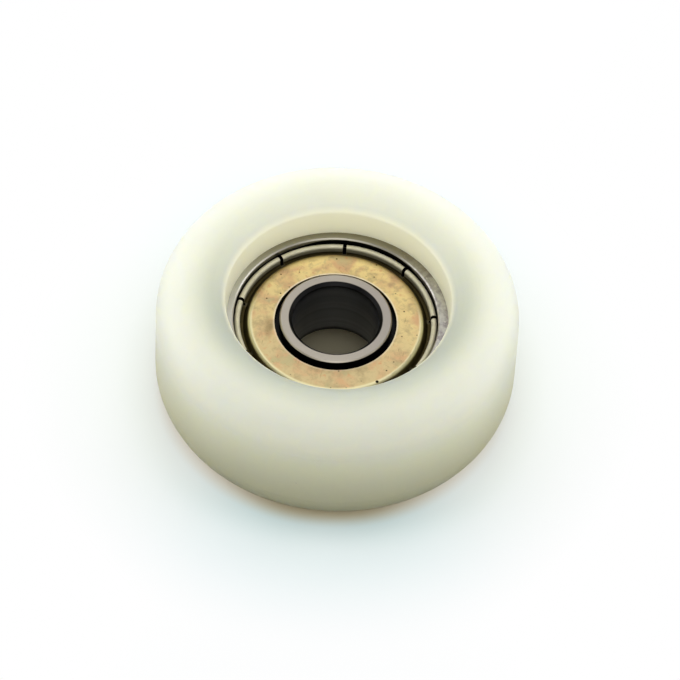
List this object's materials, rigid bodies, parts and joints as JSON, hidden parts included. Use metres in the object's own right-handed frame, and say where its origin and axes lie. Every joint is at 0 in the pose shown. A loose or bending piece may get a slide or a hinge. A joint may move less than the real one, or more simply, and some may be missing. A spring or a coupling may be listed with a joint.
{
  "type": "sliding door roller",
  "caption": "Nylon wheel with rounded rims moulded round a shielded ball bearing, which runs on an axle through its bore and carries a sliding door in its track.",
  "frame": {"origin": "middle of the bearing's bore, on the axle's line", "axes": "+Z along the axle's line, up through the side with the deeper recess, with the roller lying flat on its other side; X and Y across the wheel"},
  "size_m": [0.029, 0.029, 0.012],
  "materials": {
    "nylon": "natural nylon, slightly see-through, satin from the mould",
    "ring_steel": "ground bearing steel",
    "shield_steel": "yellow passivated sheet, lightly stained",
    "cage_steel": "pressed sheet",
    "ball_steel": "polished"
  },
  "bodies": {
    "inner_ring": {"inner_ring": "ring_steel"},
    "wheel": {"nylon_wheel": "nylon", "outer_ring": "ring_steel", "upper_shield": "shield_steel", "lower_shield": "shield_steel"},
    "cage": {"cage_upper_half": "cage_steel", "cage_lower_half": "cage_steel", "cage_rivet_1": "cage_steel", "cage_rivet_2": "cage_steel", "cage_rivet_3": "cage_steel", "cage_rivet_4": "cage_steel", "cage_rivet_5": "cage_steel", "cage_rivet_6": "cage_steel"},
    "ball_1": {"ball_1": "ball_steel"},
    "ball_2": {"ball_2": "ball_steel"},
    "ball_3": {"ball_3": "ball_steel"},
    "ball_4": {"ball_4": "ball_steel"},
    "ball_5": {"ball_5": "ball_steel"},
    "ball_6": {"ball_6": "ball_steel"}
  },
  "joints": [
    {"name": "wheel_spin", "type": "hinge", "parent": "inner_ring", "child": "wheel", "pos_m": [0, 0, 0], "axis": [0, 0, 1], "continuous": true},
    {"name": "cage_turn", "type": "hinge", "parent": "inner_ring", "child": "cage", "pos_m": [0, 0, 0], "axis": [0, 0, 1], "continuous": true},
    {"name": "ball_1_roll", "type": "hinge", "parent": "cage", "child": "ball_1", "pos_m": [0.00635, 0, 0], "axis": [0, 0, 1], "continuous": true},
    {"name": "ball_2_roll", "type": "hinge", "parent": "cage", "child": "ball_2", "pos_m": [0.00317, 0.0055, 0], "axis": [0, 0, 1], "continuous": true},
    {"name": "ball_3_roll", "type": "hinge", "parent": "cage", "child": "ball_3", "pos_m": [-0.00317, 0.0055, 0], "axis": [0, 0, 1], "continuous": true},
    {"name": "ball_4_roll", "type": "hinge", "parent": "cage", "child": "ball_4", "pos_m": [-0.00635, 0, 0], "axis": [0, 0, 1], "continuous": true},
    {"name": "ball_5_roll", "type": "hinge", "parent": "cage", "child": "ball_5", "pos_m": [-0.00317, -0.0055, 0], "axis": [0, 0, 1], "continuous": true},
    {"name": "ball_6_roll", "type": "hinge", "parent": "cage", "child": "ball_6", "pos_m": [0.00317, -0.0055, 0], "axis": [0, 0, 1], "continuous": true}
  ],
  "couplings": [
    {"joint": "cage_turn", "follows": "wheel_spin", "ratio": 0.6378},
    {"joint": "ball_1_roll", "follows": "wheel_spin", "ratio": 1.6765},
    {"joint": "ball_2_roll", "follows": "wheel_spin", "ratio": 1.6765},
    {"joint": "ball_3_roll", "follows": "wheel_spin", "ratio": 1.6765},
    {"joint": "ball_4_roll", "follows": "wheel_spin", "ratio": 1.6765},
    {"joint": "ball_5_roll", "follows": "wheel_spin", "ratio": 1.6765},
    {"joint": "ball_6_roll", "follows": "wheel_spin", "ratio": 1.6765}
  ]
}
